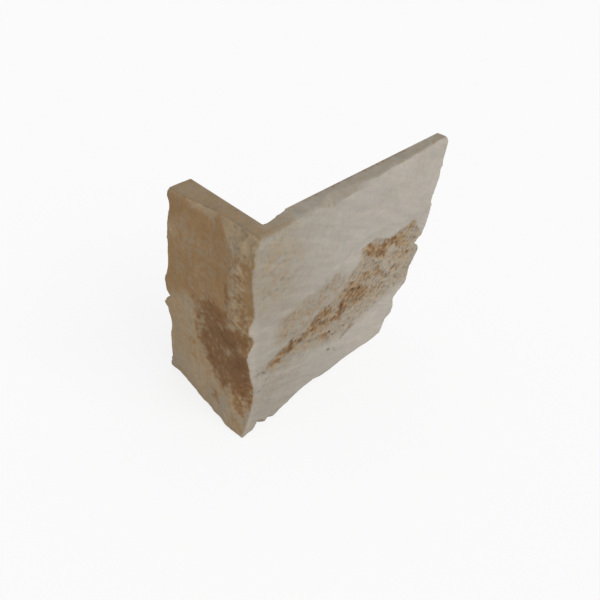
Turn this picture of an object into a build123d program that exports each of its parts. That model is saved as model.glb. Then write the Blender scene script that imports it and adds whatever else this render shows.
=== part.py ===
from build123d import *

import math
import os

# Stone cladding corner piece: one cast stone that turns the outside corner of a wall.
# Millimetres. The origin is the foot of the inner arris, where the planes of the two flat
# backs meet. +X runs along the long leg, +Y along the short leg, +Z is up.
# The wall's own corner fills x > 0 and y > 0, so both backs face it.

# Overall sizes, measured on the outside of the L at its head
long_leg = 250.0
short_leg = 100.0
stone_height = 235.0
leg_thickness = 18.0

# How much thicker (+) or thinner (-) each leg is at the four corners of its rough face
long_face_foot_at_corner = 0.5
long_face_foot_at_end = -4.5
long_face_head_at_corner = 0.5
long_face_head_at_end = -5.5
short_face_foot_at_corner = 8.5
short_face_foot_at_end = 1.0
short_face_head_at_corner = 1.0
short_face_head_at_end = 2.0

# Waves of the cast faces: crossing runs of ripples as (pitch, height, degrees from level). Each face
# starts them at its own turn, so that the two don't match
wave_runs = [(84, 0.95, 56), (76, 0.65, -26), (52, 0.3, 8)]
long_face_turn = 0.6
short_face_turn = 2.1

# Long face: a rough band sunk between two smooth plates. Its head and foot are given as
# (place along the leg, height); the head has a sharp lip and the foot runs out gently.
band_depth = 3.0
band_head = [(-10, 88), (15, 96), (55, 106), (88, 158), (112, 168), (140, 166), (232, 152)]
band_foot = [(-10, 84), (45, 74), (110, 50), (150, 54), (232, 66)]
band_lip = 15.0
band_run_out = 26.0

# The deepest pits of the band, as (place along the leg, height, radius, depth)
band_pits = [(36, 92, 14, 1.5), (101, 101, 16, 1.7), (124, 112, 15, 1.3), (153, 147, 15, 1.2)]

# Short face: an upper plate that ends in a ledge, and a rough hollow beside the corner
ledge_height = 130.0
ledge_step = 2.4
ledge_lip = 15.0
ledge_from_back = 48.0
hollow_depth = 4.5
hollow_height = 94.0
hollow_from_back = 20.0
hollow_half_width = 44.0
hollow_half_height = 52.0
hollow_floor_share = 0.4

# Short face: a blunt rib beside the corner above the hollow, and a groove between it and the arris
rib_height = 1.4
rib_from_back = 3.0
rib_half_width = 15.0
groove_depth = 1.2
groove_from_back = -9.0
groove_half_width = 11.0
rib_foot_height = 135.0

# The outer arris bulges over the short leg and draws back, as (height, how far it stands out)
arris_wander = [
    (0, -2.5), (20, -6.5), (38, -10), (64, -12.3), (97, -3.3), (119, 2.5), (135, -3), (149, 5.5),
    (160, -3), (180, -2.5), (200, -0.5), (235, -1.3),
]
arris_wander_width = 26.0

# The inner arris is relieved: the long leg's back is cut away beside it, with a level floor at the
# arris that then runs out to the back
inner_relief_depth = 4.0
inner_relief_floor = 5.0
inner_relief_run = 28.0

# Broken ends, as (height, how far the break lies behind the end of the leg), from foot to head
long_end_break = [
    (0, 34), (17, 26), (20, 13), (32, 16), (50, 22), (54, 12.5), (59, 3), (80, -2.5), (90, -9), (99, -12),
    (106, -8), (112, 1), (117, -4), (124, -9), (133, -12), (144, -10), (153, -6), (160, -5), (169, -1.5),
    (181, -3), (190, -7), (204, -8), (215, -5.5), (227, -6), (235, -3),
]
short_end_break = [
    (0, -24), (22, -18), (53, -18), (71, -15), (84, -17), (91, -17.5), (96, -23), (104, -18.5), (110, -12),
    (116, -17), (124, -17), (130, -16), (140, -12), (155, -8.5), (182, -9), (202, -5), (212, -1.5),
    (218, 1.5), (235, 0),
]
# The facets of a break twist through the stone by up to this much from the rough face to the back,
# each by this turn more than the one below
break_twist = 3.0
break_turn = 2.0

# Chipped arrises outside each leg, as (place along the leg, how far the chip runs up or down
# the rough face, how far it runs into the stone)
long_foot_chips = [
    (-22, 1, 0.5), (-11, 4, 3), (-5, 17, 10), (1, 12, 7), (5, 5, 3.5), (9, 10, 6), (18, 2, 1), (30, 5, 3),
    (58, 9, 5), (80, 9, 6), (94, 5, 3), (105, 3, 2), (138, 3, 2), (154, 5, 3), (175, 2, 1), (195, 1, 0.5),
]
long_head_chips = [
    (-18, 7, 4), (-3, 3, 2), (18, 4, 2), (35, 4, 3), (50, 2, 2), (70, 8, 9), (97, 4, 5),
    (125, 6, 3), (152, 3, 2), (173, 2, 1), (198, 4, 2), (222, 7, 3),
]
short_foot_chips = [
    (-20, 1, 0.5), (4, 1, 0.5), (15, 3, 2.5), (26, 1, 0.5), (37, 3, 2), (45, 1, 0.5), (60, 3, 1.5), (90, 3, 1.5),
]
short_head_chips = [
    (-18, 7, 5), (-2, 8, 6), (9, 9, 6), (22, 6, 5), (32, 6, 4), (45, 5, 3), (62, 4, 2), (84, 4, 2),
]

# Working values: how far the cutting shapes run past the stone, and how finely the skins are set out
overrun = 14.0
skin_pitch = 9.0

long_end = long_leg - leg_thickness
short_end = short_leg - leg_thickness
blank_thickness = 2.0 * leg_thickness
far_past_end = 3.0 * overrun


def ease(share):
    # runs smoothly from 0 to 1 as the share does, and stays level outside that
    share = min(max(share, 0.0), 1.0)
    return share * share * (3.0 - 2.0 * share)


def between(low, high, share):
    return low + (high - low) * min(max(share, 0.0), 1.0)


def read_off(line, place):
    # the height of a broken line of (place, height) points, level past both of its ends
    for (start, low), (stop, high) in zip(line, line[1:]):
        if place <= stop:
            return between(low, high, (place - start) / (stop - start))
    return line[-1][1]


def mound(off, half_width):
    # 1 on the middle of a ridge or groove and 0 past its half width
    return ease(1.0 - abs(off) / half_width)


def waves(along, up, turn):
    # the slanting ripples of the mould
    rise = 0.0
    for number, (pitch, height, slant) in enumerate(wave_runs, 1):
        across = along * math.cos(math.radians(slant)) + up * math.sin(math.radians(slant))
        rise += height * math.sin(math.tau * across / pitch + number * turn)
    return rise


def band(along, up):
    # 1 on the floor of the sunk band of the long face, 0 on the plates above and below it
    head_side = ease(0.5 + (read_off(band_head, along) - up) / band_lip)
    foot_side = ease(0.5 + (up - read_off(band_foot, along)) / band_run_out)
    return head_side * foot_side


def long_face_thickness(along, up):
    share = along / long_end
    rise = up / stone_height
    foot = between(long_face_foot_at_corner, long_face_foot_at_end, share)
    head = between(long_face_head_at_corner, long_face_head_at_end, share)
    relief = waves(along, up, long_face_turn) - band_depth * band(along, up)
    for pit_along, pit_height, radius, depth in band_pits:
        relief -= depth * mound(math.hypot(along - pit_along, up - pit_height), radius)
    return leg_thickness + between(foot, head, rise) + relief


def short_face_thickness(along, up):
    share = along / short_end
    rise = up / stone_height
    foot = between(short_face_foot_at_corner, short_face_foot_at_end, share)
    head = between(short_face_head_at_corner, short_face_head_at_end, share)
    above_ledge = ease(0.5 + (up - ledge_height) / ledge_lip)
    plate = ledge_step * above_ledge * ease(0.5 + (along - ledge_from_back) / ledge_lip)
    off_across = (along - hollow_from_back) / hollow_half_width
    off_up = (up - hollow_height) / hollow_half_height
    hollow = hollow_depth * ease((1.0 - math.hypot(off_across, off_up)) / (1.0 - hollow_floor_share))
    above_hollow = ease(0.5 + (up - rib_foot_height) / ledge_lip)
    rib = rib_height * above_hollow * mound(along - rib_from_back, rib_half_width)
    groove = groove_depth * above_hollow * mound(along - groove_from_back, groove_half_width)
    wander = read_off(arris_wander, up) * ease(1.0 - (along + leg_thickness) / arris_wander_width)
    relief = waves(along, up, short_face_turn) + plate - hollow + rib - groove + wander
    return leg_thickness + between(foot, head, rise) + relief


def stations(low, high):
    # evenly spaced places from low to high, about one skin pitch apart
    count = math.ceil((high - low) / skin_pitch)
    return [low + (high - low) * step / count for step in range(count + 1)]


def beyond_face(thickness, end, place):
    # everything outside one leg's rough face: a loft through level sections, from under the foot
    # to over the head, each with the face's own line as one side
    outside = -2.0 * blank_thickness
    places = stations(-blank_thickness - overrun, end + far_past_end)
    sections = []
    for up in stations(-overrun, stone_height + overrun):
        points = [place(along, -thickness(along, up), up) for along in places]
        face_line = Spline(*points)
        far_side = Polyline(points[-1], place(places[-1], outside, up), place(places[0], outside, up), points[0])
        sections.append(Wire([*face_line.edges(), *far_side.edges()]))
    return Solid.make_loft(sections)


def beyond_break(line, end, place):
    # everything past a broken end, in facets that twist as they run through the stone
    past = end + far_past_end + overrun
    sections = []
    for depth in (-blank_thickness - overrun, overrun):
        twist = break_twist * (depth + leg_thickness) / leg_thickness
        outline = [place(past, depth, -overrun)]
        outline.append(place(end - line[0][1], depth, -overrun))
        for number, (height, setback) in enumerate(line):
            up = height * stone_height / line[-1][0]
            outline.append(place(end - setback + twist * math.cos(break_turn * number), depth, up))
        outline.append(place(end - line[-1][1], depth, stone_height + overrun))
        outline.append(place(past, depth, stone_height + overrun))
        sections.append(Wire(Polyline(*outline, close=True).edges()))
    return Solid.make_loft(sections, ruled=True)


def chipped_arris(chips, thickness, end, level, upward, place):
    # a chain of wedge-shaped chips along one outer arris, from past the corner to past the end
    first = (-blank_thickness, *chips[0][1:])
    last = (end + far_past_end, *chips[-1][1:])
    outside = -blank_thickness
    sections = []
    for along, rise, run in [first, *chips, last]:
        inside = run - thickness(along, level)
        reach = rise * (inside - outside) / run
        corners = [
            place(along, outside, level + upward * reach),
            place(along, inside, level),
            place(along, inside, level - upward * overrun),
            place(along, outside, level - upward * overrun),
        ]
        sections.append(Wire(Polyline(*corners, close=True).edges()))
    return Solid.make_loft(sections, ruled=True)


def on_long_leg(along, depth, up):
    return (along, depth, up)


def on_short_leg(along, depth, up):
    return (depth, along, up)


def l_block():
    # the plain L before its outside is shaped, with its two flat backs, its head and its bed
    outside = -blank_thickness
    corners = [
        (0, -inner_relief_depth),
        (inner_relief_floor, -inner_relief_depth),
        (inner_relief_run, 0),
        (long_end + overrun, 0),
        (long_end + overrun, outside),
        (outside, outside),
        (outside, short_end + far_past_end),
        (0, short_end + far_past_end),
    ]
    plan = make_face(Polyline(*corners, close=True))
    return extrude(plan, amount=stone_height)


def corner_stone():
    stone = l_block()
    legs = (
        (long_face_thickness, long_end, long_end_break, long_foot_chips, long_head_chips, on_long_leg),
        (short_face_thickness, short_end, short_end_break, short_foot_chips, short_head_chips, on_short_leg),
    )
    for thickness, end, line, foot_chips, head_chips, place in legs:
        stone -= beyond_face(thickness, end, place)
        stone -= beyond_break(line, end, place)
        stone -= chipped_arris(foot_chips, thickness, end, 0.0, 1.0, place)
        stone -= chipped_arris(head_chips, thickness, end, stone_height, -1.0, place)
    return stone.solid()


os.makedirs("parts", exist_ok=True)
export_step(corner_stone(), "parts/corner_stone.step")
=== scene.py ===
import math

import bmesh
import bpy
import numpy as np
from mathutils import Matrix, Vector, noise
from mathutils.bvhtree import BVHTree
from mathutils.kdtree import KDTree


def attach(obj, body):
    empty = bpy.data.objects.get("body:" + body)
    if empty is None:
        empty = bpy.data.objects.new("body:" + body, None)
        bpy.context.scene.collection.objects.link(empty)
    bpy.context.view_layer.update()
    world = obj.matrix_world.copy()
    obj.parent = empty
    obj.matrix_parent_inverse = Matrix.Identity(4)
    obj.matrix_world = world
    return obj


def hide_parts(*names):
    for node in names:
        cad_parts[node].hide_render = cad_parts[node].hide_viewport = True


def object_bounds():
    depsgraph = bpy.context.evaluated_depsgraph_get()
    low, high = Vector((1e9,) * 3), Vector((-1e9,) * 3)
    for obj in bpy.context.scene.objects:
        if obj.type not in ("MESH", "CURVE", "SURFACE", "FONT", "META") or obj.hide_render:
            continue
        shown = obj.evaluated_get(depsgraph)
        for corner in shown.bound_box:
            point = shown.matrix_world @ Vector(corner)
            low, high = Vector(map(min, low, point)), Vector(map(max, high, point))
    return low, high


# Cast stone corner piece for wall cladding, standing on its bed.
# The stone's features are placed in millimetres, as in the CAD model; Blender's own objects are in metres.
mm = 0.001
outerPlane = 18.0  # how far the outer planes of the legs lie from the wall's corner

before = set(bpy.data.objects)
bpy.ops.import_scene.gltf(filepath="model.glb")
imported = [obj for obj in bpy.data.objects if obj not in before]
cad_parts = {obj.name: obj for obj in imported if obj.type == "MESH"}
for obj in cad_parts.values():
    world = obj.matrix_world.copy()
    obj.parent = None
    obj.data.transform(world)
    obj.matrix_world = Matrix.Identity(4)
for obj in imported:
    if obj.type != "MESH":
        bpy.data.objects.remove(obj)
cadLow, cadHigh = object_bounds()
print("frame loaded")

# The stone's skin: how finely it is meshed
skin = {
    "mergeDistance": 0.01,  # CAD triangles that meet closer than this are joined
    "voxel": 2.35,  # mesh size of the backs and the bed; everything seen gets half of it
    "backNormal": 0.8,  # faces that look this squarely at the wall or the floor stay coarse
    "backReach": 7.0,  # and lie this near the planes of the backs and the bed
    "creaseAngle": 50.0,  # arrises of the backs sharper than this are kept crisp
    "creaseReach": 0.95,  # points this near them move onto them
    "creaseStep": 0.3,  # how closely those arrises are sampled
    "sharpAngle": 60.0,  # edges sharper than this aren't shaded smooth
}

# How each point is told to belong to a side, by the way it looks and where it lies
sideLimits = {
    "level": (0.45, 0.8),  # how squarely the head looks up and the bed down
    "levelReach": 35.0,  # and how far from the top or the floor they can lie
    "back": (0.5, 0.9),  # how squarely the backs look at the wall
    "end": (0.3, 0.8),  # and the ends along their legs
    "longEndFrom": 150.0,  # what looks along the long leg from here on is its end
    "shortEndFrom": 50.0,  # and the same on the short leg
    "arris": 0.2,  # how widely the two outer faces run into each other
}

# Noises that the features share: lengths along x, y and z, shift, octaves
noiseKinds = {
    "coarse": ((16, 16, 16), 3.1, 3),
    "medium": ((6, 6, 6), 17.7, 4),
    "fine": ((2.6, 2.6, 2.6), 41.3, 3),
    "warpAlong": ((14, 14, 14), 60.5, 4),
    "warpUp": ((14, 14, 14), 85.2, 4),
    "crumbs": ((3.6, 3.6, 3.6), 52.6, 3),
    "flutes": ((12, 9, 60), 23.4, 3),
    "lumps": ((8, 7, 8), 33.3, 4),
    "chips": ((7, 7, 7), 71.7, 3),
    "dirt": ((28, 28, 28), 93.9, 4),
}
flowKinds = {  # the same, laid along the flow lines
    "flow": ((44, 24, 7), 5.5, 4),
    "flakes": ((9, 7, 5.5), 11.9, 4),
}

# How far features stray from the places given below
stray = {
    "warp": 2.2,
    "bend": 1.3,
    "crumble": 1.2,
    "nearWarp": 0.8,  # small features stay near their places
    "nearCrumble": 1.6,
    "ragged": (5.0, 3.0),  # extra, for the outlines on the short face
}

# The photograph's view, with the picture's own centre off the lens axis
photoView = {
    "azimuth": -44.644,
    "elevation": 43.853,
    "roll": 2.873,
    "place": (-247.58, -246.84, 470.44),
    "focalPixels": 563.75,
    "axisPixel": (250.0, 320.0),
    "picturePixels": 600.0,
    "sensorWidth": 36.0,
    # nearest and furthest distance shown, in metres
    "clipStart": 0.01,
    "clipEnd": 50.0,
}

# Long face: places are (along the leg, height), read off on the leg's outer plane as the photograph shows it.
# Single patches are place, half length, half width and tilt in degrees.
longFace = {
    "bandHead": [
        (-14, 84), (4, 91), (21, 99), (56, 105), (64, 116), (84, 117), (100, 128), (116, 150),
        (122, 165), (137, 168), (158, 157), (197, 161), (208, 154), (222, 136),
    ],
    "bandFoot": [(-14, 83), (11, 80), (41, 76), (77, 62), (113, 56), (149, 62), (175, 70), (216, 74)],
    "bandHeadEdge": 4.0,  # how softly the band begins at its upper outline
    "bandFootEdge": 12.0,  # and at its lower one
    "flowTilt": -25.0,  # the flow lines of the cast run down towards the end of the leg
    "haze": [  # the faint khaki cloud above the band
        (8, 110), (16, 138), (40, 145), (66, 148), (84, 153), (98, 149), (112, 140), (114, 118),
        (60, 103), (38, 100),
    ],
    "flowHeight": 0.35,
    "flakeHeight": 0.6,
    "crumbHeight": 0.4,
    "bandHaze": 0.2,  # how ochre the whole band is
    "cloudHaze": 0.5,  # and the cloud above it
    "hazeEdge": 9.0,
    "hollowDepth": 0.9,
    "pitDepth": 0.6,
    # ochre stains: place, half length, half width, tilt, strength
    "stains": [
        (12, 86, 12, 7, 10, 0.75), (24, 93, 11, 6, 10, 0.75), (33, 93, 8, 9, 0, 0.95),
        (46, 94, 11, 6, 0, 0.75), (60, 99, 10, 7, 10, 0.75), (68, 108, 11, 8, 20, 0.8),
        (80, 108, 13, 7, -15, 0.8), (70, 96, 12, 9, 0, 0.7), (88, 92, 15, 9, -10, 0.65),
        (103, 98, 8, 15, 0, 1.0), (82, 74, 15, 7, -50, 0.7), (118, 113, 17, 8, -15, 0.95),
        (128, 104, 14, 9, -20, 0.85), (122, 96, 16, 8, -15, 0.75), (108, 118, 12, 8, 0, 0.6),
        (132, 124, 19, 8, -15, 0.7), (122, 160, 10, 7, 0, 0.65), (134, 155, 14, 8, -40, 0.8),
        (146, 147, 17, 7, -35, 0.85), (160, 151, 17, 7, -10, 0.85), (156, 141, 16, 6, -30, 0.8),
        (178, 149, 17, 7, -10, 0.8), (184, 141, 17, 7, -25, 0.8), (198, 156, 11, 6, 10, 0.7),
        (160, 114, 14, 6, -45, 0.6), (152, 126, 12, 5, -60, 0.55), (180, 128, 21, 6, -28, 0.55),
        (200, 122, 17, 8, -50, 0.45), (186, 108, 17, 10, -30, 0.4), (144, 98, 17, 10, -25, 0.4),
        (168, 95, 19, 10, -25, 0.36), (150, 80, 24, 11, -20, 0.26), (31, 129, 19, 13, 0, 0.5),
        (60, 128, 20, 11, 0, 0.36), (86, 149, 10, 5, -40, 0.5), (95, 132, 20, 10, -20, 0.36),
        (118, 55, 11, 5, 25, 0.4), (126, 60, 6, 5, 0, 0.45), (105, 39, 8, 2.5, -45, 0.5),
        (173, 79, 12, 5, -20, 0.35),
    ],
    # small dark hollows: place, half length, half width, tilt, strength
    "hollows": [
        (20, 95, 7, 3.5, 20, 0.65), (33.5, 97, 3, 7, 0, 1.0), (32, 90, 5.5, 5, 0, 0.8),
        (42, 93, 6, 3, 0, 0.55), (52, 96, 7, 3, 0, 0.75), (65, 109, 8, 3, 40, 0.65),
        (81, 108, 8, 3.5, -20, 0.75), (102, 104, 4, 8, 0, 1.0), (105, 93, 4, 10, 10, 0.75),
        (116, 116, 7, 3, -30, 0.95), (127, 113, 8, 3.5, -20, 0.95), (120, 100, 9, 4, -10, 0.65),
        (130, 96, 7, 3.5, 0, 0.7), (88, 68, 8, 3, -50, 0.55), (74, 145, 2.2, 8, 0, 0.75),
        (117, 54, 9, 4, 20, 0.6), (126, 60, 5.5, 4, 0, 0.6), (93.5, 46, 4, 3.5, -30, 1.0),
        (144, 130, 6, 2.5, -30, 0.5), (152, 126, 7, 2, -60, 0.6), (164, 112, 6, 3, -45, 0.7),
        (182, 130, 14, 2, -25, 0.55), (148, 162, 13, 1.6, -30, 0.6), (126, 152, 4, 3, 0, 0.6),
        (141, 149, 7, 2.5, -35, 0.55), (165, 152, 6, 2.5, 0, 0.5), (156, 141, 9, 2, -30, 0.5),
        (214, 70, 3, 3, 0, 1.0), (86, 93, 8, 3, -10, 0.5), (72, 98, 6, 4, 0, 0.5),
        (-7, 195, 1.8, 1.8, 0, 0.5), (5, 223, 1.8, 1.8, 0, 0.5), (186, 110, 9, 2.5, -30, 0.45),
        (146, 97, 9, 2.5, -25, 0.45),
    ],
    "lip": [(112, 165), (136, 168), (148, 161), (158, 158), (184, 159)],  # edge of the upper plate
    "lipRun": (104, 116, 184, 194),  # where it rises and dies away along the leg
    "lipHeight": 0.5,
    "paleTongue": (107, 155, 18, 12, -15),
    "palePatch": (168, 138, 7, 5, -20),
    "cornerPits": (-4, 77, 13, 16, 0),
    "cornerMottle": (6, 200, 30, 42, 0),
    "footMottle": (22, 68, 52, 28, 10),
}

# Short face: places are (along the leg, height), read off in the same way
shortFace = {
    "ledgeHeight": 130.0,
    "ledgeDrop": 14.0,  # how far the ledge sinks towards the leg's end
    "ledgeDropRun": (60, 96),
    "hollowEdge": 12.0,
    "ribEdge": 6.0,
    "flutesHeight": 0.3,
    "plateStain": 0.78,
    # the upper edge of the plate's stain
    "brow": [(-20, 214), (6, 214), (16, 218), (20, 236), (26, 236), (29, 230), (88, 229), (100, 234)],
    # the rough rib beside the arris
    "rib": [
        (14, 240), (14, 216), (9, 200), (12, 183), (13, 160), (9, 137), (-15, 131), (-18, 150),
        (-9, 163), (-7, 206), (-20, 216), (-20, 240),
    ],
    "ribHeight": 1.1,  # how much rougher than the hollow the rib is
    "hollow": [
        (58, 130), (45, 140), (33, 146), (17, 144), (12, 133), (-25, 132), (-25, 46), (2, 42),
        (20, 45), (38, 57), (49, 74), (59, 90), (62, 110),
    ],
    "lumpHeight": 0.7,
    "crumbHeight": 0.45,
    # dark stains: place, half length, half width, tilt, strength
    "grime": [
        (8, 113, 26, 14, 0, 0.95), (-6, 90, 13, 34, 0, 1.05), (12, 77, 30, 20, 0, 0.8),
        (28, 134, 24, 11, 0, 0.8), (42, 94, 7, 11, 0, 0.95), (21, 118, 11, 9, 0, 1.05),
        (-2, 62, 15, 16, 0, 0.85), (30, 104, 16, 14, 0, 0.75), (16, 162, 2.6, 13, 0, 0.7),
        (4, 143, 5, 3, 0, 0.7), (-5, 36, 8, 18, -10, 0.5), (4, 11, 5, 12, 10, 0.4),
        (30, 20, 6, 20, -25, 0.3), (60, 120, 3, 20, 0, 0.35), (35, 66, 14, 8, 30, 0.5),
    ],
    "paleChips": [(22, 122, 6, 3, 20), (-5, 113, 6, 8, 0), (68, 106, 9, 22, 0), (9, 132, 7, 5, 0)],
    # khaki where the upper plate is rubbed, and brighter ochre spots, as the stains above
    "khaki": [
        (66, 188, 24, 30, 0, 0.2), (86, 190, 8, 10, 0, 0.3), (60, 155, 24, 12, 0, 0.1),
    ],
    "ochreSpots": [
        (68, 74, 6, 7, 10, 0.8), (4, 11, 6, 14, 10, 0.75), (29, 20, 7, 20, -25, 0.75),
        (87, 208, 6, 16, 0, 0.95), (32, 190, 15, 50, 0, 0.95), (96, 134, 10, 10, 0, 0.8),
        (-4, 36, 9, 18, -10, 0.75), (60, 44, 6, 26, -10, 0.4), (88, 96, 6, 16, 0, 0.4),
        (46, 56, 10, 12, 30, 0.5), (82, 24, 6, 18, -15, 0.35), (16, 30, 5, 16, -20, 0.3),
    ],
}

# Head: the sawn top of both legs
headFace = {
    "khakiRun": (30.0, -10.0),  # along the long leg, from plain grey-brown to khaki
    "khakiStray": 9.0,
    # dark strip along the long leg's back edge: where it starts, is full, wanes and ends
    "backStrip": (38.0, 46.0, 170.0, 195.0),
    "backStripWidth": 3.0,
}

# Wear along the arrises
wear = {
    "turn": (0.03, 0.22),  # how far normals turn from the main directions on an arris
    "rounds": 7,  # how far the wear spreads from the arris over the mesh
    "softRounds": 8,  # how far an arris is rounded over
    "softFrom": (12, 30),  # heights at which the rounding sets in
    "depth": 0.35,
    "chipDepth": 0.7,
    "grainHeight": 0.07,
    "crispReach": (-6, -1),  # distances from a back's plane at which arrises turn crisp
    "crispTo": 50.0,  # nothing this far off a back's plane counts
    "crispFrom": -2.0,  # where that begins along a leg, measured from the other leg's back
    "shadeRounds": 5,  # how far around a point its relief is compared, for the shade in its hollows
}


def onOuterPlane(points, axis):
    # where each point is seen on a leg's flat outer plane, along the photograph's line of sight
    eye = np.array(photoView["place"])
    share = (-outerPlane - eye[axis]) / (points[:, axis] - eye[axis])
    return eye + share[:, None] * (points - eye)


def smooth(low, high, value):
    # 0 at low, 1 at high, with a soft run between them
    share = np.clip((value - low) / (high - low), 0.0, 1.0)
    return share * share * (3.0 - 2.0 * share)


def fractal(points, sizes, shift, octaves):
    # noise of about -1 to 1 at every point; sizes are the pattern's lengths in millimetres
    spots = (points / np.asarray(sizes) + shift).tolist()
    return np.array([noise.fractal(spot, 1.0, 2.0, octaves) for spot in spots])


def turned(along, up, tilt):
    # places on a face, measured along and across a line tilted by so many degrees
    angle = math.radians(tilt)
    return along * math.cos(angle) + up * math.sin(angle), up * math.cos(angle) - along * math.sin(angle)


def blob(along, up, place):
    # 1 in the middle of an ellipse, falling softly to 0 past its edge
    onward, across = turned(along - place[0], up - place[1], place[4])
    reach = np.hypot(onward / place[2], across / place[3])
    return smooth(1.5, 0.1, reach)


def blobs(along, up, places):
    # soft patches that build up where they meet
    left = np.ones_like(along)
    for place in places:
        left *= 1.0 - place[5] * blob(along, up, place)
    return 1.0 - left


def fromLine(along, up, start, end):
    # distance from a straight line between two places
    runAlong, runUp = end[0] - start[0], end[1] - start[1]
    share = ((along - start[0]) * runAlong + (up - start[1]) * runUp) / (runAlong ** 2 + runUp ** 2)
    share = np.clip(share, 0.0, 1.0)
    return np.hypot(along - start[0] - share * runAlong, up - start[1] - share * runUp)


def inside(along, up, outline, softness):
    # 1 inside a closed outline, 0 outside it
    within = np.zeros(len(along), bool)
    off = np.full(len(along), np.inf)
    for start, end in zip(outline, outline[1:] + outline[:1]):
        off = np.minimum(off, fromLine(along, up, start, end))
        if start[1] != end[1]:
            meets = start[0] + (up - start[1]) * (end[0] - start[0]) / (end[1] - start[1])
            within ^= ((start[1] > up) != (end[1] > up)) & (along < meets)
    return smooth(-softness, softness, np.where(within, off, -off))


def readOff(line, along):
    # height of a line at each place along the leg
    return np.interp(along, [point[0] for point in line], [point[1] for point in line])


def creaseTree(form, settings):
    # points all along the sharp arrises of the backs
    points = []
    for edge in form.edges:
        start, end = edge.verts[0].co, edge.verts[1].co
        middle = (start + end) / 2
        atBack = min(abs(middle.x), abs(middle.y)) < settings["mergeDistance"] * mm
        if atBack and edge.calc_face_angle(0.0) > math.radians(settings["creaseAngle"]):
            steps = math.ceil(edge.calc_length() / (settings["creaseStep"] * mm))
            points += [start.lerp(end, step / steps) for step in range(steps + 1)]
    tree = KDTree(len(points))
    for index, point in enumerate(points):
        tree.insert(point, index)
    tree.balance()
    return tree


def evenSkin(node, settings):
    # an even mesh on the CAD solid, finer where it is seen
    form = bmesh.new()
    form.from_mesh(node.data)
    bmesh.ops.remove_doubles(form, verts=form.verts, dist=settings["mergeDistance"] * mm)
    solid = BVHTree.FromBMesh(form)
    creases = creaseTree(form, settings)
    mesh = bpy.data.meshes.new("cornerStone")
    form.to_mesh(mesh)
    form.free()
    piece = bpy.data.objects.new("cornerStone", mesh)
    bpy.context.scene.collection.objects.link(piece)
    remesh = piece.modifiers.new("evenSkin", "REMESH")
    remesh.mode = "VOXEL"
    remesh.voxel_size = settings["voxel"] * mm
    evaluated = piece.evaluated_get(bpy.context.evaluated_depsgraph_get())
    even = bpy.data.meshes.new_from_object(evaluated)
    piece.modifiers.clear()
    form = bmesh.new()
    form.from_mesh(even)
    squarely = settings["backNormal"]
    reach = settings["backReach"] * mm
    fine = set()
    for face in form.faces:
        centre = face.calc_center_median()
        hidden = (
            (face.normal.x > squarely and abs(centre.x) < reach)
            or (face.normal.y > squarely and abs(centre.y) < reach)
            or (face.normal.z < -squarely and centre.z < reach)
        )
        if not hidden:
            fine.update(face.edges)
    bmesh.ops.subdivide_edges(form, edges=list(fine), cuts=1, use_grid_fill=True)
    for vert in form.verts:
        vert.co = solid.find_nearest(vert.co)[0]
        crease, _, off = creases.find(vert.co)
        if off < settings["creaseReach"] * mm:
            vert.co = crease
    bmesh.ops.remove_doubles(form, verts=form.verts, dist=settings["mergeDistance"] * mm)
    bmesh.ops.triangulate(form, faces=[face for face in form.faces if len(face.verts) > 4])
    form.normal_update()
    form.to_mesh(mesh)
    form.free()
    bpy.data.meshes.remove(even)
    return piece


def spread(values, edges, rounds):
    # lets a value on the mesh's points run out along its edges
    counts = np.bincount(edges.ravel(), minlength=len(values))
    for _ in range(rounds):
        total = np.bincount(edges[:, 0], weights=values[edges[:, 1]], minlength=len(values))
        total += np.bincount(edges[:, 1], weights=values[edges[:, 0]], minlength=len(values))
        values = (values + total / np.maximum(counts, 1)) / 2.0
    return values


def readMesh(mesh):
    points = np.empty(len(mesh.vertices) * 3, np.float32)
    mesh.vertices.foreach_get("co", points)
    normals = np.empty(len(mesh.vertices) * 3, np.float32)
    mesh.vertices.foreach_get("normal", normals)
    edges = np.empty(len(mesh.edges) * 2, np.int32)
    mesh.edges.foreach_get("vertices", edges)
    points = points.reshape(-1, 3).astype(float) / mm
    normals = normals.reshape(-1, 3).astype(float)
    return points, normals, edges.reshape(-1, 2)


def setAttribute(mesh, name, values):
    attribute = mesh.attributes.new(name, "FLOAT", "POINT")
    attribute.data.foreach_set("value", np.clip(values, 0.0, 1.0).astype(np.float32))


def pattern(points):
    # the shared noises at every point
    flowAlong, flowAcross = turned(points[:, 0], points[:, 2], longFace["flowTilt"])
    flowPoints = np.stack([flowAlong, points[:, 1], flowAcross], -1)
    noises = {name: fractal(points, *kind) for name, kind in noiseKinds.items()}
    noises.update({name: fractal(flowPoints, *kind) for name, kind in flowKinds.items()})
    return noises


def facesOf(points, normals):
    # how much each point belongs to each side of the stone
    x, y, z = points.T
    lookX, lookY, lookUp = normals.T
    level, reach = sideLimits["level"], sideLimits["levelReach"]
    back, end = sideLimits["back"], sideLimits["end"]
    longEnd, shortEnd = sideLimits["longEndFrom"], sideLimits["shortEndFrom"]
    sides = {
        "head": smooth(*level, lookUp) * (z > cadHigh[2] / mm - reach),
        "bed": smooth(*level, -lookUp) * (z < reach),
        "back": smooth(*back, lookY) * (y < shortEnd) + smooth(*back, lookX) * (x < longEnd),
        "end": smooth(*end, lookX) * (x > longEnd) + smooth(*end, lookY) * (y > shortEnd),
    }
    sides = {name: np.clip(amount, 0.0, 1.0) for name, amount in sides.items()}
    rough = np.clip(1.0 - sum(sides.values()), 0.0, 1.0)
    longShare = smooth(-sideLimits["arris"], sideLimits["arris"], lookX - lookY)
    sides["long"] = rough * longShare
    sides["short"] = rough * (1.0 - longShare)
    return sides


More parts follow.
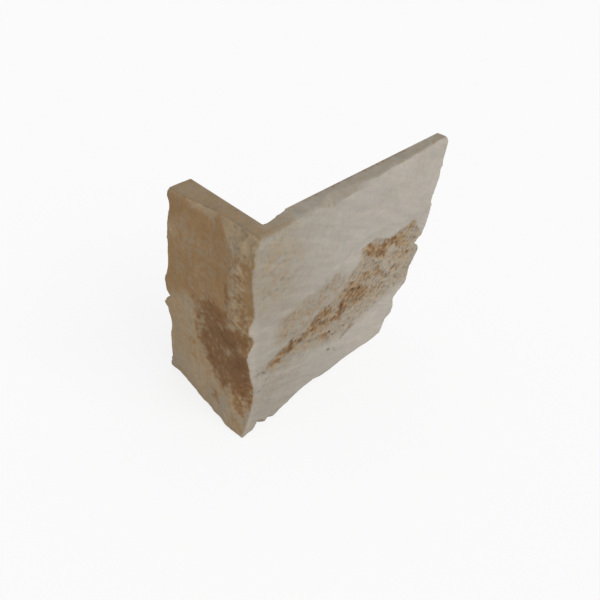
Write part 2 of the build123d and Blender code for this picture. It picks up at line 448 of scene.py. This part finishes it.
def strayed(along, up, noises):
    # where features are looked up: bent freely for large ones, near the true place for small ones
    warpAlong, warpUp = noises["warpAlong"], noises["warpUp"]
    crumbs, fine = noises["crumbs"], noises["fine"]
    warp, bend, crumble = stray["warp"], stray["bend"], stray["crumble"]
    bent = (
        along + warp * warpAlong + bend * noises["medium"] + crumble * crumbs,
        up + warp * warpUp + bend * noises["lumps"] + crumble * fine,
    )
    warp, crumble = stray["nearWarp"], stray["nearCrumble"]
    near = (along + warp * warpAlong + crumble * crumbs, up + warp * warpUp + crumble * fine)
    return bent, near


def shapeLong(x, z, noises):
    # relief, warmth, ochre stain, grime and level of the long face
    coarse, medium, fine, flow = (noises[name] for name in ("coarse", "medium", "fine", "flow"))
    flakes, crumbs, lumps = (noises[name] for name in ("flakes", "crumbs", "lumps"))
    (u, v), near = strayed(x, z, noises)

    # where the rough band, the cloud above it, the hollows and the smooth patches lie
    headEdge, footEdge = longFace["bandHeadEdge"], longFace["bandFootEdge"]
    inBand = smooth(headEdge, -headEdge, v - readOff(longFace["bandHead"], u))
    inBand *= smooth(-footEdge, footEdge, v - readOff(longFace["bandFoot"], u))
    haze = inside(u, v, longFace["haze"], longFace["hazeEdge"])
    pale = np.maximum(blob(*near, longFace["paleTongue"]), blob(*near, longFace["palePatch"]))
    broken = np.maximum(inBand, 0.5 * haze) * (1.0 - 0.8 * pale)
    hollow = blobs(*near, longFace["hollows"]) * smooth(-0.9, 0.5, flakes + 0.6 * crumbs)
    pits = blob(u, v, longFace["cornerPits"]) * smooth(0.1, 0.7, crumbs)
    cornerMottle = blob(u, v, longFace["cornerMottle"])
    footMottle = blob(u, v, longFace["footMottle"])
    speckle = broken * (0.24 * flakes + 0.3 * crumbs + 0.12 * fine)

    rise = longFace["flowHeight"] * (flow + 0.15 * medium)
    rise += broken * (longFace["flakeHeight"] * flakes + longFace["crumbHeight"] * crumbs)
    rise -= longFace["hollowDepth"] * hollow + longFace["pitDepth"] * pits
    lipStart, lipFull, lipWanes, lipEnd = longFace["lipRun"]
    lipOff = z - readOff(longFace["lip"], x)
    lip = smooth(lipStart, lipFull, x) * smooth(lipEnd, lipWanes, x)
    lip *= smooth(6.0, 1.0, lipOff) * smooth(-1.5, 0.5, lipOff)
    rise += longFace["lipHeight"] * lip

    stain = np.maximum(blobs(u, v, longFace["stains"]), longFace["bandHaze"] * inBand)
    cloud = longFace["cloudHaze"] * haze * smooth(-1.1, 0.7, medium + flakes)
    stain = np.maximum(stain, cloud) * (1.0 - 0.9 * pale)
    stain = 0.8 * stain - 0.35 * speckle
    grime = np.maximum(1.1 * smooth(0.5, 1.0, hollow), broken * (0.55 * stain - 0.15) - 1.1 * speckle)
    stain = np.maximum(stain, 0.5 * hollow)

    # warmer beside the arris, in the mottled corners and in the band
    warm = smooth(100, -10, x) * (0.16 + 0.22 * smooth(120, 170, z) + 0.16 * smooth(90, 30, z))
    warm += 0.5 * cornerMottle * smooth(-0.8, 0.8, lumps) + 0.3 * footMottle * smooth(-0.6, 0.8, lumps)
    warm += 0.5 * np.maximum(inBand, 0.7 * haze) + 0.8 * speckle + 0.2 * smooth(0.1, 0.5, stain)

    # darker towards the arris, partly painted light fall-off and partly dirt, and darker towards the foot;
    # painted shade in hollows and pits; darker in mottled corners
    level = 0.5 - 0.1 * smooth(180, -10, x) - 0.05 * smooth(80, 30, z) * smooth(170, 90, x)
    level -= 0.3 * hollow + 0.35 * pits + 0.1 * broken - 0.4 * speckle
    level += 0.05 * flow + 0.03 * medium + 0.03 * coarse
    level -= 0.2 * cornerMottle * smooth(0.1, 0.9, crumbs) + 0.1 * footMottle * smooth(0.0, 0.8, crumbs)
    level += 0.08 * smooth(-9, -15, x) * smooth(160, 140, z) + 0.02 * pale
    return rise, warm, stain, grime, level


def shapeShort(y, z, noises):
    # relief, warmth, ochre stain, grime and level of the short face
    coarse, medium, flutes = (noises[name] for name in ("coarse", "medium", "flutes"))
    crumbs, lumps = noises["crumbs"], noises["lumps"]
    (u, v), near = strayed(y, z, noises)

    # where the hollow, the rib, the plate above the ledge and the rubbed chips lie
    bend, crumble = stray["ragged"]
    ragged = bend * medium + crumble * crumbs
    inHollow = inside(u + ragged, v, shortFace["hollow"], shortFace["hollowEdge"])
    onRib = inside(u + 0.6 * ragged, v, shortFace["rib"], shortFace["ribEdge"])
    drop = shortFace["ledgeDrop"] * smooth(*shortFace["ledgeDropRun"], y)
    above = smooth(-12, 10, v + ragged + drop - shortFace["ledgeHeight"])
    pale = 0.8 * onRib * smooth(-1.0, 0.9, lumps + 0.6 * crumbs)
    for chip in shortFace["paleChips"]:
        pale = np.maximum(pale, 0.8 * blob(*near, chip))

    rise = shortFace["flutesHeight"] * (flutes + 0.2 * medium + 0.25 * crumbs)
    rough = shortFace["lumpHeight"] * lumps + shortFace["crumbHeight"] * crumbs
    rise += (inHollow + shortFace["ribHeight"] * onRib) * rough

    below = 0.12 + 0.16 * smooth(10, 110, z) + 0.24 * smooth(34, 4, y)
    stain = shortFace["plateStain"] * above + (1.0 - above) * below
    spots = blobs(u + ragged, v, shortFace["ochreSpots"]) * (0.75 + 0.35 * lumps)
    stain = np.maximum(stain - above * blobs(u, v, shortFace["khaki"]), spots)
    stain *= smooth(9.0, -7.0, v - readOff(shortFace["brow"], u))
    stain += 0.2 * flutes + 0.12 * coarse + 0.14 * lumps + 0.12 * crumbs
    stain *= 1.0 - 0.85 * pale

    texture = 0.34 * lumps + 0.5 * crumbs + 0.2 * flutes
    grime = inHollow * (0.4 + 0.18 * smooth(60, 34, y) + texture)
    grime = np.maximum(grime, blobs(*near, shortFace["grime"]) * (0.82 + texture)) * (1.0 - 0.8 * pale)
    warm = 1.0 + 0.1 * flutes - 0.1 * pale - 0.25 * smooth(60, 10, z)
    level = 0.48 + 0.09 * flutes + 0.05 * medium + 0.04 * lumps + 0.05 * crumbs
    level += onRib * (0.07 * lumps + 0.05 * crumbs - 0.03) + 0.05 * inHollow * crumbs
    return rise, warm, stain, grime, level


def shapeHead(x, y, noises):
    # the same for the head: khaki on the short leg, plain grey-brown along the long one
    coarse, medium, lumps = (noises[name] for name in ("coarse", "medium", "lumps"))
    khaki = smooth(*headFace["khakiRun"], x + headFace["khakiStray"] * noises["dirt"])
    start, full, wanes, end = headFace["backStrip"]
    width = headFace["backStripWidth"]
    strip = smooth(-width, -0.3 * width, y + 1.2 * noises["fine"])
    strip *= smooth(start, full, x) * smooth(end, wanes, x)
    rise = 0.15 * medium + 0.1 * coarse
    warm = 0.4 + 0.6 * khaki + 0.25 * medium
    stain = 0.12 + 0.1 * khaki + 0.12 * lumps
    grime = 0.3 * strip
    level = 0.35 - 0.1 * strip - 0.1 * khaki + 0.05 * lumps + 0.04 * coarse
    return rise, warm, stain, grime, level


def shapeEnd(noises):
    # the same for the broken ends
    coarse, medium, lumps = (noises[name] for name in ("coarse", "medium", "lumps"))
    warm = np.full_like(coarse, 0.6)
    return 0.5 * coarse + 0.4 * medium, warm, 0.15 + 0.25 * lumps, 0.3 * medium - 0.1, 0.44 + 0.05 * medium


def shapeBack(noises):
    # and for the plain cast backs
    coarse, medium, dirt = (noises[name] for name in ("coarse", "medium", "dirt"))
    clean = np.zeros_like(coarse)
    return 0.08 * coarse, 0.35 + 0.3 * dirt, 0.05 + 0.3 * dirt, clean, 0.44 + 0.08 * coarse + 0.08 * medium


def shapeBed(noises):
    # and for the bed
    medium, lumps, dirt = (noises[name] for name in ("medium", "lumps", "dirt"))
    clean = np.zeros_like(medium)
    return 0.1 * medium, 0.4 + 0.3 * dirt, 0.1 + 0.3 * lumps, clean, 0.42 + 0.1 * medium


def widened(values, edges):
    # a value run out over its surroundings, and still full in its middle
    return np.clip(3.0 * spread(values, edges, wear["rounds"]), 0.0, 1.0)


def wornArrises(points, normals, edges, sides, noises):
    # how far each point lies on an arris that wears, how near it is to a back, and how deep the wear is;
    # arrises along the backs were cast against the mould and stay crisp
    x, y = points[:, 0], points[:, 1]
    crisp, start, limit = wear["crispReach"], wear["crispFrom"], wear["crispTo"]
    nearBack = np.maximum(
        smooth(*crisp, y) * (x > start) * (y < limit),
        smooth(*crisp, x) * (y > start) * (x < limit),
    )
    arris = widened(smooth(*wear["turn"], 1.0 - np.abs(normals).max(axis=1)), edges)
    arris *= (1.0 - nearBack) * (1.0 - 0.8 * widened(sides["end"], edges))
    depth = wear["depth"] * (0.2 + 0.3 * noises["coarse"] + 0.3 * noises["medium"])
    depth += wear["chipDepth"] * smooth(0.3, 1.0, noises["chips"])
    return arris, nearBack, depth


def weather(piece):
    # moves the skin's points into the relief of each side and wears the arrises,
    # and notes on each point how warm, ochre, grimy and light it is; the lightness carries painted shade and
    # painted light
    mesh = piece.data
    points, normals, edges = readMesh(mesh)
    noises = pattern(points)
    sides = facesOf(points, normals)
    seenLong, seenShort = onOuterPlane(points, 1), onOuterPlane(points, 0)
    looks = {
        "long": shapeLong(seenLong[:, 0], seenLong[:, 2], noises),
        "short": shapeShort(seenShort[:, 1], seenShort[:, 2], noises),
        "head": shapeHead(points[:, 0], points[:, 1], noises),
        "end": shapeEnd(noises),
        "back": shapeBack(noises),
        "bed": shapeBed(noises),
    }
    rise, warm, stain, grime, level = sum(sides[name] * np.stack(look) for name, look in looks.items())

    arris, nearBack, depth = wornArrises(points, normals, edges, sides, noises)
    rise -= arris * depth
    rise += wear["grainHeight"] * noises["fine"] * (1.0 - sides["back"])
    rise *= 1.0 - 0.85 * nearBack
    softer = np.stack([spread(place, edges, wear["softRounds"]) for place in points.T], -1)
    soften = arris * smooth(*wear["softFrom"], points[:, 2]) * smooth(0.6, 0.0, sides["end"])
    moved = points + soften[:, None] * (softer - points) + normals * rise[:, None]
    moved = np.clip(moved, np.array(cadLow) / mm, np.array(cadHigh) / mm)
    mesh.vertices.foreach_set("co", (moved * mm).astype(np.float32).ravel())
    mesh.update()

    # hollows gather stain and grime and ridges lose it; the level gets painted shade in hollows and painted
    # light on ridges
    shade = rise - spread(rise, edges, wear["shadeRounds"])
    setAttribute(mesh, "warm", warm)
    setAttribute(mesh, "stain", stain - 0.3 * shade)
    setAttribute(mesh, "grime", grime - 0.3 * shade * (grime > 0.05))
    # painted shade in hollows and painted light on ridges, added to the level
    setAttribute(mesh, "level", level + 0.22 * shade)
    print("stone shaped:", len(points), "points")


class Flow:
    # wraps a node's output, so that sums on it add Math nodes
    def __init__(self, shader, socket):
        self.shader = shader
        self.socket = socket

    def sum(self, operation, first, second):
        return self.shader.node("ShaderNodeMath", {"operation": operation}, {0: first, 1: second})

    def __add__(self, other):
        return self.sum("ADD", self, other)

    def __radd__(self, other):
        return self.sum("ADD", other, self)

    def __sub__(self, other):
        return self.sum("SUBTRACT", self, other)

    def __rsub__(self, other):
        return self.sum("SUBTRACT", other, self)

    def __mul__(self, other):
        return self.sum("MULTIPLY", self, other)

    def __rmul__(self, other):
        return self.sum("MULTIPLY", other, self)


class Shader:
    def __init__(self, name):
        self.material = bpy.data.materials.new(name)
        self.material.use_nodes = True
        self.tree = self.material.node_tree
        self.tree.nodes.clear()

    def node(self, kind, settings, values, output=0):
        made = self.tree.nodes.new(kind)
        for name, value in settings.items():
            setattr(made, name, value)
        for name, value in values.items():
            if isinstance(value, Flow):
                self.tree.links.new(value.socket, made.inputs[name])
            else:
                made.inputs[name].default_value = value
        return Flow(self, made.outputs[output])

    def mix(self, factor, first, second):
        # colours; 6 and 7 are the Mix node's two colour inputs, and 2 its colour output
        settings = {"data_type": "RGBA", "clamp_factor": True}
        return self.node("ShaderNodeMix", settings, {0: factor, 6: first, 7: second}, 2)

    def between(self, low, high, value):
        settings = {"interpolation_type": "SMOOTHSTEP"}
        return self.node("ShaderNodeMapRange", settings, {"Value": value, "From Min": low, "From Max": high})

    def attribute(self, name):
        return self.node("ShaderNodeAttribute", {"attribute_name": name}, {}, "Fac")

    def noise(self, place, size, detail, roughness=0.55):
        values = {"Vector": place, "Scale": 1.0 / (size * mm), "Detail": detail, "Roughness": roughness}
        return self.node("ShaderNodeTexNoise", {}, values, "Fac")

    def finish(self, surface):
        output = self.tree.nodes.new("ShaderNodeOutputMaterial")
        self.tree.links.new(surface.socket, output.inputs["Surface"])
        return self.material


def opaque(red, green, blue):
    return (red, green, blue, 1.0)


white = opaque(1.0, 1.0, 1.0)

# Colours of the stone, as they look in plain light
stoneColours = {
    "pale": opaque(0.425, 0.385, 0.335),
    "paler": opaque(0.48, 0.445, 0.395),
    "drab": opaque(0.36, 0.31, 0.235),
    "khaki": opaque(0.395, 0.29, 0.176),
    "ochre": opaque(0.30, 0.174, 0.074),
    "rust": opaque(0.225, 0.113, 0.045),
    "dark": opaque(0.115, 0.058, 0.026),
    # between which amounts each colour sets in over the ones before it, and how far it covers them
    "covers": {
        "paler": (-0.1, 0.3, 0.3),
        "drab": (-0.1, 0.6, 0.75),
        "khaki": (0.35, 1.1, 1.0),
        "ochre": (0.05, 0.95, 0.86),
        "rust": (0.1, 0.6, 0.9),
        "dark": (0.5, 1.25, 0.85),
    },
    "cleanBelow": 0.2,  # stone less stained than this loses its ochre
    "mottleSize": 5.0,
    "streakSize": 5.0,
    "streakStretch": (0.35, 0.35, 1.0),
    "cloudSize": 26.0,
    "grainSize": 1.4,
    "bumpHeight": 0.3,
    "bumpStrength": 0.5,
    "gloss": 0.25,
}


def castStone(colours):
    shader = Shader("castStone")
    place = shader.node("ShaderNodeTexCoord", {}, {}, "Object")
    tilt = (0.0, math.radians(-longFace["flowTilt"]), 0.0)
    laid = {"Vector": place, "Rotation": tilt, "Scale": colours["streakStretch"]}
    flow = shader.node("ShaderNodeMapping", {}, laid, "Vector")
    clouds = shader.noise(place, colours["cloudSize"], 4.0) - 0.5
    mottle = shader.noise(place, colours["mottleSize"], 6.0, 0.68) - 0.5
    streaks = shader.noise(flow, colours["streakSize"], 5.0, 0.6) - 0.5
    grain = shader.noise(place, colours["grainSize"], 4.0, 0.7) - 0.5
    stained, warmth = shader.attribute("stain"), shader.attribute("warm")

    # how much of each colour there is, in the order in which they are laid on
    warm = warmth + mottle * 0.9 + clouds * 0.4
    ochre = stained + mottle * 1.7 + streaks * 0.6 + clouds * 0.5 + grain * 0.4
    grime = shader.attribute("grime") + mottle * 1.2 + streaks * 0.5 + grain * 0.4
    amounts = {"paler": streaks, "drab": warm, "khaki": warm, "ochre": ochre, "rust": grime, "dark": grime}
    colour = colours["pale"]
    for name, amount in amounts.items():
        low, high, share = colours["covers"][name]
        cover = shader.between(low, high, amount) * share
        if name == "ochre":
            cover = cover * shader.between(0.0, colours["cleanBelow"], stained)
        colour = shader.mix(cover, colour, colours[name])

    speckle = (mottle * 0.3 + streaks * 0.25 + grain * 0.35) * (warmth * 0.8 + 0.2)
    # the level holds the stone's tone together with painted shade in hollows and a painted light fall-off
    # towards the long face's arris
    level = (shader.attribute("level") + speckle) * 1.2 + 0.4
    colour = shader.node("ShaderNodeVectorMath", {"operation": "SCALE"}, {0: colour, "Scale": level})
    relief = {
        "Strength": colours["bumpStrength"],
        "Distance": colours["bumpHeight"] * mm,
        "Height": grain * 0.8 + mottle * 0.5,
    }
    surface = {
        "Base Color": colour,
        "Roughness": grain * 0.12 + 0.9,
        "Normal": shader.node("ShaderNodeBump", {}, relief),
        "Specular IOR Level": colours["gloss"],
    }
    return shader.finish(shader.node("ShaderNodeBsdfPrincipled", {}, surface))


stone = evenSkin(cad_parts["corner_stone"], skin)
print("stone meshed:", len(stone.data.polygons), "faces")
weather(stone)
stone.data.materials.append(castStone(stoneColours))
for polygon in stone.data.polygons:
    polygon.use_smooth = True
stone.data.set_sharp_from_angle(angle=math.radians(skin["sharpAngle"]))
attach(stone, "root")
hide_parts("corner_stone")

# Floor and light
studio = {
    "floorSize": 8.0,  # in metres
    "floorColour": opaque(0.90, 0.90, 0.895),
    "whiteShare": 0.8,  # how far the camera sees the floor as pure white
    "worldLevel": 0.62,
    "keyLevel": 1.35,
    "keyTurn": (48.0, 0.0, 12.0),
    "keySoftness": 40.0,
}


def floorMaterial(colour, whiteShare):
    # the camera sees the floor nearly white, with the stone's shadow; the stone sees a plain pale floor
    shader = Shader("paleFloor")
    diffuse = shader.node("ShaderNodeBsdfDiffuse", {}, {"Color": colour})
    glow = shader.node("ShaderNodeEmission", {}, {"Color": white})
    seen = shader.node("ShaderNodeLightPath", {}, {}, "Is Camera Ray")
    glossy = shader.node("ShaderNodeLightPath", {}, {}, "Is Glossy Ray")
    through = shader.node("ShaderNodeLightPath", {}, {}, "Is Transmission Ray")
    share = (seen + glossy + through) * whiteShare
    return shader.finish(shader.node("ShaderNodeMixShader", {}, {0: share, 1: diffuse, 2: glow}))


floorForm = bmesh.new()
bmesh.ops.create_grid(floorForm, x_segments=1, y_segments=1, size=studio["floorSize"] / 2)
floorMesh = bpy.data.meshes.new("floor")
floorForm.to_mesh(floorMesh)
floorForm.free()
floor = bpy.data.objects.new("floor", floorMesh)
bpy.context.scene.collection.objects.link(floor)
floorMesh.materials.append(floorMaterial(studio["floorColour"], studio["whiteShare"]))

world = bpy.data.worlds.new("studio")
bpy.context.scene.world = world
world.use_nodes = True
background = world.node_tree.nodes["Background"]
background.inputs["Color"].default_value = white
background.inputs["Strength"].default_value = studio["worldLevel"]

keyData = bpy.data.lights.new("keyLight", "SUN")
keyData.energy = studio["keyLevel"]
keyData.angle = math.radians(studio["keySoftness"])
key = bpy.data.objects.new("keyLight", keyData)
key.rotation_euler = [math.radians(turn) for turn in studio["keyTurn"]]
bpy.context.scene.collection.objects.link(key)
print("studio lit")


def photoCamera(view):
    data = bpy.data.cameras.new("photoCamera")
    pixels = view["picturePixels"]
    data.sensor_width = view["sensorWidth"]
    data.lens = view["sensorWidth"] * view["focalPixels"] / pixels
    data.shift_x = (pixels / 2 - view["axisPixel"][0]) / pixels
    data.shift_y = (view["axisPixel"][1] - pixels / 2) / pixels
    data.clip_start = view["clipStart"]
    data.clip_end = view["clipEnd"]
    camera = bpy.data.objects.new("photoCamera", data)
    bpy.context.scene.collection.objects.link(camera)
    azimuth, elevation = math.radians(view["azimuth"]), math.radians(view["elevation"])
    level = math.cos(elevation)
    back = Vector((math.sin(azimuth) * level, -math.cos(azimuth) * level, math.sin(elevation)))
    right = (-back).cross(Vector((0, 0, 1))).normalized()
    up = right.cross(-back)
    roll = math.radians(view["roll"])
    rolledRight = math.cos(roll) * right + math.sin(roll) * up
    rolledUp = math.cos(roll) * up - math.sin(roll) * right
    turn = Matrix((rolledRight, rolledUp, back)).transposed().to_4x4()
    camera.matrix_world = Matrix.Translation(Vector(view["place"]) * mm) @ turn
    bpy.context.scene.camera = camera


photoCamera(photoView)
bpy.context.scene.view_settings.view_transform = "Standard"
bpy.context.view_layer.update()
